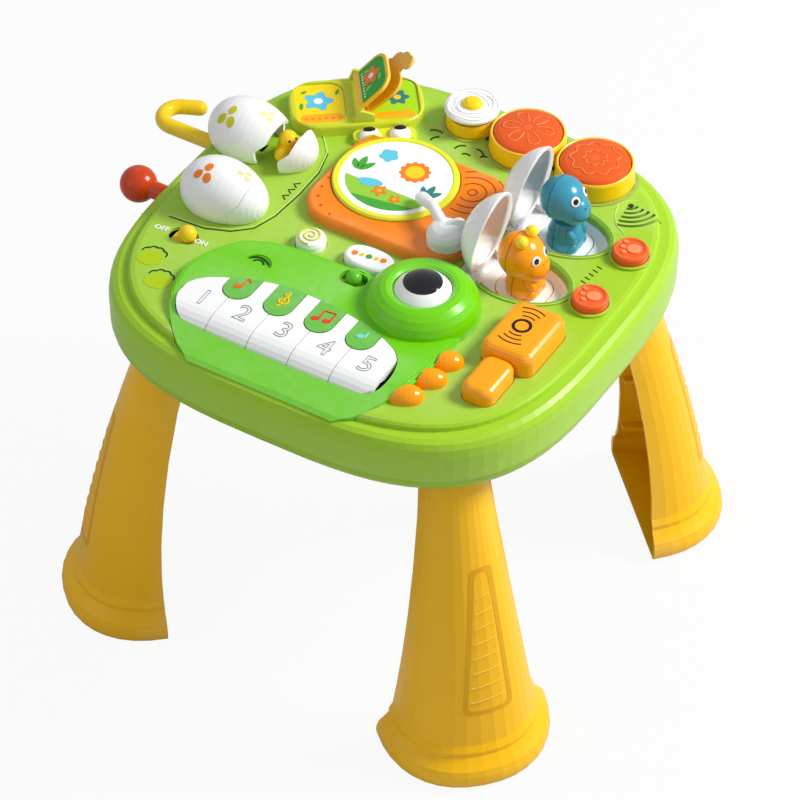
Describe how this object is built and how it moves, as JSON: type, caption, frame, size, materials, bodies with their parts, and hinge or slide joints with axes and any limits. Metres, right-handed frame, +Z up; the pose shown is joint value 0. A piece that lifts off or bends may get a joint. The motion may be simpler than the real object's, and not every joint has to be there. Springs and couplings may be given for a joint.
{
  "type": "musical activity table",
  "caption": "Four-legged musical activity table for babies, with a crocodile piano, record player, drums, sliding eggs, pop-up dinosaurs and a page-turning book.",
  "frame": {"origin": "on the floor, under the middle of the whole outline, handles and feet included", "axes": "+X to the right seen from the piano side, +Y away from the piano, +Z up"},
  "size_m": [0.4626, 0.413, 0.379],
  "materials": {
    "top_shell": "moulded ABS plastic",
    "bottom_shell": "moulded ABS plastic",
    "front_right_leg": "moulded ABS plastic",
    "front_left_leg": "moulded ABS plastic",
    "back_right_leg": "moulded ABS plastic",
    "back_left_leg": "moulded ABS plastic",
    "battery_door": "moulded ABS plastic",
    "batteries": "plain steel",
    "circuit_board": "bare component",
    "speaker": "bare component",
    "case_screws": "plain steel",
    "key_shaft": "plain steel",
    "head_cover": "moulded ABS plastic",
    "toe_claws": "moulded ABS plastic",
    "eyeball": "moulded ABS plastic",
    "pupil": "moulded ABS plastic",
    "mode_knob": "moulded ABS plastic",
    "power_knob": "moulded ABS plastic",
    "key_1": "moulded ABS plastic",
    "key_2": "moulded ABS plastic",
    "key_3": "moulded ABS plastic",
    "key_4": "moulded ABS plastic",
    "key_5": "moulded ABS plastic",
    "note_key_1": "moulded ABS plastic",
    "note_key_2": "moulded ABS plastic",
    "note_key_3": "moulded ABS plastic",
    "note_key_4": "moulded ABS plastic",
    "record_plate": "moulded ABS plastic",
    "record_disc": "moulded ABS plastic",
    "tonearm": "moulded ABS plastic",
    "snail_button": "moulded ABS plastic",
    "oval_button": "moulded ABS plastic",
    "hammer_button": "moulded ABS plastic",
    "front_egg_end": "moulded ABS plastic",
    "front_egg_slider": "moulded ABS plastic",
    "ball_handle": "moulded ABS plastic",
    "front_chick": "moulded ABS plastic",
    "rear_egg_end": "moulded ABS plastic",
    "rear_egg_slider": "moulded ABS plastic",
    "hook_handle": "moulded ABS plastic",
    "rear_chick": "moulded ABS plastic",
    "egg_cup": "moulded ABS plastic",
    "egg_white": "moulded ABS plastic",
    "egg_yolk": "moulded ABS plastic",
    "citrus_cup": "moulded ABS plastic",
    "citrus_cap": "moulded ABS plastic",
    "donut_cup": "moulded ABS plastic",
    "donut_cap": "moulded ABS plastic",
    "blue_nest": "moulded ABS plastic",
    "blue_lid": "moulded ABS plastic",
    "blue_dino": "moulded ABS plastic",
    "orange_nest": "moulded ABS plastic",
    "orange_lid": "moulded ABS plastic",
    "orange_dino": "moulded ABS plastic",
    "near_paw_button": "moulded ABS plastic",
    "far_paw_button": "moulded ABS plastic",
    "book_base": "moulded ABS plastic",
    "front_page": "moulded ABS plastic",
    "tab_page": "moulded ABS plastic",
    "frog_eyes": "moulded ABS plastic"
  },
  "bodies": {
    "table": {"top_shell": "top_shell", "bottom_shell": "bottom_shell", "front_right_leg": "front_right_leg", "front_left_leg": "front_left_leg", "back_right_leg": "back_right_leg", "back_left_leg": "back_left_leg", "battery_door": "battery_door", "batteries": "batteries", "circuit_board": "circuit_board", "speaker": "speaker", "case_screws": "case_screws", "key_shaft": "key_shaft", "head_cover": "head_cover", "toe_claws": "toe_claws", "record_plate": "record_plate", "front_egg_end": "front_egg_end", "front_chick": "front_chick", "rear_egg_end": "rear_egg_end", "rear_chick": "rear_chick", "egg_cup": "egg_cup", "citrus_cup": "citrus_cup", "donut_cup": "donut_cup", "blue_nest": "blue_nest", "orange_nest": "orange_nest", "book_base": "book_base", "frog_eyes": "frog_eyes"},
    "key_1": {"key_1": "key_1"},
    "key_2": {"key_2": "key_2"},
    "key_3": {"key_3": "key_3"},
    "key_4": {"key_4": "key_4"},
    "key_5": {"key_5": "key_5"},
    "note_key_1": {"note_key_1": "note_key_1"},
    "note_key_2": {"note_key_2": "note_key_2"},
    "note_key_3": {"note_key_3": "note_key_3"},
    "note_key_4": {"note_key_4": "note_key_4"},
    "eye": {"eyeball": "eyeball", "pupil": "pupil"},
    "mode_knob": {"mode_knob": "mode_knob"},
    "power_knob": {"power_knob": "power_knob"},
    "snail_button": {"snail_button": "snail_button"},
    "oval_button": {"oval_button": "oval_button"},
    "hammer_button": {"hammer_button": "hammer_button"},
    "near_paw_button": {"near_paw_button": "near_paw_button"},
    "far_paw_button": {"far_paw_button": "far_paw_button"},
    "egg_drum": {"egg_white": "egg_white", "egg_yolk": "egg_yolk"},
    "citrus_drum": {"citrus_cap": "citrus_cap"},
    "donut_drum": {"donut_cap": "donut_cap"},
    "record_disc": {"record_disc": "record_disc"},
    "tonearm": {"tonearm": "tonearm"},
    "front_egg": {"front_egg_slider": "front_egg_slider", "ball_handle": "ball_handle"},
    "rear_egg": {"rear_egg_slider": "rear_egg_slider", "hook_handle": "hook_handle"},
    "blue_lid": {"blue_lid": "blue_lid"},
    "blue_dino": {"blue_dino": "blue_dino"},
    "orange_lid": {"orange_lid": "orange_lid"},
    "orange_dino": {"orange_dino": "orange_dino"},
    "front_page": {"front_page": "front_page"},
    "tab_page": {"tab_page": "tab_page"}
  },
  "joints": [
    {"name": "key_1_press", "type": "hinge", "parent": "table", "child": "key_1", "pos_m": [0.02, -0.08, 0.305], "axis": [1, 0, 0], "range_deg": [0, 2.6], "stiffness_Nm_per_rad": 1.5, "springref_deg": -1.15},
    {"name": "key_2_press", "type": "hinge", "parent": "table", "child": "key_2", "pos_m": [0.02, -0.08, 0.305], "axis": [1, 0, 0], "range_deg": [0, 2.6], "stiffness_Nm_per_rad": 1.5, "springref_deg": -1.15},
    {"name": "key_3_press", "type": "hinge", "parent": "table", "child": "key_3", "pos_m": [0.02, -0.08, 0.305], "axis": [1, 0, 0], "range_deg": [0, 2.6], "stiffness_Nm_per_rad": 1.5, "springref_deg": -1.15},
    {"name": "key_4_press", "type": "hinge", "parent": "table", "child": "key_4", "pos_m": [0.02, -0.08, 0.305], "axis": [1, 0, 0], "range_deg": [0, 2.6], "stiffness_Nm_per_rad": 1.5, "springref_deg": -1.15},
    {"name": "key_5_press", "type": "hinge", "parent": "table", "child": "key_5", "pos_m": [0.02, -0.08, 0.305], "axis": [1, 0, 0], "range_deg": [0, 2.6], "stiffness_Nm_per_rad": 1.5, "springref_deg": -1.15},
    {"name": "note_key_1_press", "type": "hinge", "parent": "table", "child": "note_key_1", "pos_m": [0.02, -0.08, 0.305], "axis": [1, 0, 0], "range_deg": [0, 2.6], "stiffness_Nm_per_rad": 1.5, "springref_deg": -1.15},
    {"name": "note_key_2_press", "type": "hinge", "parent": "table", "child": "note_key_2", "pos_m": [0.02, -0.08, 0.305], "axis": [1, 0, 0], "range_deg": [0, 2.6], "stiffness_Nm_per_rad": 1.5, "springref_deg": -1.15},
    {"name": "note_key_3_press", "type": "hinge", "parent": "table", "child": "note_key_3", "pos_m": [0.02, -0.08, 0.305], "axis": [1, 0, 0], "range_deg": [0, 2.6], "stiffness_Nm_per_rad": 1.5, "springref_deg": -1.15},
    {"name": "note_key_4_press", "type": "hinge", "parent": "table", "child": "note_key_4", "pos_m": [0.02, -0.08, 0.305], "axis": [1, 0, 0], "range_deg": [0, 2.6], "stiffness_Nm_per_rad": 1.5, "springref_deg": -1.15},
    {"name": "eye_roll", "type": "hinge", "parent": "table", "child": "eye", "pos_m": [0.076, -0.05, 0.318], "axis": [1, 0, 0], "continuous": true},
    {"name": "mode_slide", "type": "slide", "parent": "table", "child": "mode_knob", "axis": [1, 0, 0], "range_m": [-0.004, 0.004]},
    {"name": "power_slide", "type": "slide", "parent": "table", "child": "power_knob", "axis": [1, 0, 0], "range_m": [-0.008, 0]},
    {"name": "snail_button_press", "type": "slide", "parent": "table", "child": "snail_button", "axis": [0, 0, -1], "range_m": [0, 0.003], "stiffness_N_per_m": 400, "springref_m": -0.002},
    {"name": "oval_button_press", "type": "slide", "parent": "table", "child": "oval_button", "axis": [0, 0, -1], "range_m": [0, 0.003], "stiffness_N_per_m": 400, "springref_m": -0.002},
    {"name": "hammer_button_press", "type": "slide", "parent": "table", "child": "hammer_button", "axis": [0, 0, -1], "range_m": [0, 0.003], "stiffness_N_per_m": 400, "springref_m": -0.002},
    {"name": "near_paw_button_press", "type": "slide", "parent": "table", "child": "near_paw_button", "axis": [0, 0, -1], "range_m": [0, 0.003], "stiffness_N_per_m": 400, "springref_m": -0.002},
    {"name": "far_paw_button_press", "type": "slide", "parent": "table", "child": "far_paw_button", "axis": [0, 0, -1], "range_m": [0, 0.003], "stiffness_N_per_m": 400, "springref_m": -0.002},
    {"name": "egg_drum_press", "type": "slide", "parent": "table", "child": "egg_drum", "axis": [0, 0, -1], "range_m": [0, 0.003], "stiffness_N_per_m": 400, "springref_m": -0.002},
    {"name": "citrus_drum_press", "type": "slide", "parent": "table", "child": "citrus_drum", "axis": [0, 0, -1], "range_m": [0, 0.003], "stiffness_N_per_m": 400, "springref_m": -0.002},
    {"name": "donut_drum_press", "type": "slide", "parent": "table", "child": "donut_drum", "axis": [0, 0, -1], "range_m": [0, 0.003], "stiffness_N_per_m": 400, "springref_m": -0.002},
    {"name": "record_spin", "type": "hinge", "parent": "table", "child": "record_disc", "pos_m": [-0.0124, 0.0579, 0.32], "axis": [0, 0, 1], "continuous": true},
    {"name": "tonearm_swing", "type": "hinge", "parent": "table", "child": "tonearm", "pos_m": [0.056, 0.016, 0.32], "axis": [0, 0, 1], "range_deg": [-22, 24]},
    {"name": "front_egg_slide", "type": "slide", "parent": "table", "child": "front_egg", "axis": [-1, 0, 0], "range_m": [0, 0.021]},
    {"name": "rear_egg_slide", "type": "slide", "parent": "table", "child": "rear_egg", "axis": [-1, 0, 0], "range_m": [-0.021, 0]},
    {"name": "blue_lid_swing", "type": "hinge", "parent": "table", "child": "blue_lid", "pos_m": [0.0875, 0.081, 0.3124], "axis": [0, 1, 0], "range_deg": [0, 80]},
    {"name": "blue_dino_drop", "type": "slide", "parent": "table", "child": "blue_dino", "axis": [0, 0, -1], "range_m": [0, 0.031]},
    {"name": "orange_lid_swing", "type": "hinge", "parent": "table", "child": "orange_lid", "pos_m": [0.0875, 0.02, 0.3124], "axis": [0, 1, 0], "range_deg": [0, 80]},
    {"name": "orange_dino_drop", "type": "slide", "parent": "table", "child": "orange_dino", "axis": [0, 0, -1], "range_m": [0, 0.031]},
    {"name": "front_page_turn", "type": "hinge", "parent": "table", "child": "front_page", "pos_m": [-0.0854, 0.1232, 0.328], "axis": [0.6004, -0.7997, 0], "range_deg": [0, 90]},
    {"name": "tab_page_turn", "type": "hinge", "parent": "table", "child": "tab_page", "pos_m": [-0.0802, 0.1271, 0.325], "axis": [0.6004, -0.7997, 0], "range_deg": [-32, 0]}
  ],
  "couplings": [
    {"joint": "blue_dino_drop", "follows": "blue_lid_swing", "m_per_rad": 0.022202},
    {"joint": "orange_dino_drop", "follows": "orange_lid_swing", "m_per_rad": 0.022202}
  ]
}
